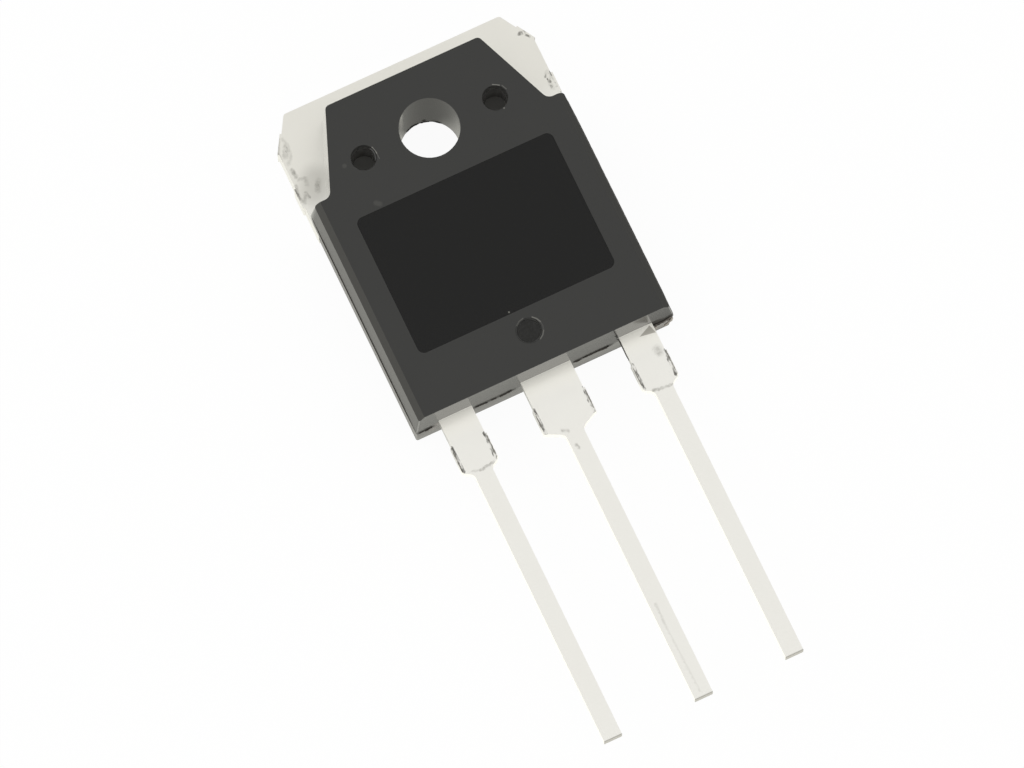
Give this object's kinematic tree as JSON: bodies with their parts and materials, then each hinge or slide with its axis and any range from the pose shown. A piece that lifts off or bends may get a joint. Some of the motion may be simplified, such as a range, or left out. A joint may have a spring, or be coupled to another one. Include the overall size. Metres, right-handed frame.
{
  "type": "power mosfet",
  "caption": "Three-lead through-hole power transistor: black moulded plastic body with a screw hole, on a bare tin-plated heat-sink tab, with slim flat leads.",
  "frame": {"origin": "on the axis of the fastening-screw bore, at the flat heat-sink back", "axes": "+X across the leads, from the gate lead to the source lead; +Y from the leads to the tab; +Z out of the front face with the marking panel"},
  "size_m": [0.0158, 0.0399, 0.0048],
  "materials": {
    "molding_compound": "matte as-moulded epoxy, polished marking panel",
    "tinned_copper": "satin matte tin plating on copper",
    "solder": "soft solder",
    "silicon": "polished silicon with metallised face",
    "aluminium_wire": "drawn aluminium bond wire"
  },
  "bodies": {
    "root": {"mold_body": "molding_compound", "drain_header": "tinned_copper", "gate_lead": "tinned_copper", "source_lead": "tinned_copper", "die_solder": "solder", "silicon_die": "silicon", "gate_bond_wire": "aluminium_wire", "source_bond_wire_a": "aluminium_wire", "source_bond_wire_b": "aluminium_wire"}
  },
  "joints": []
}
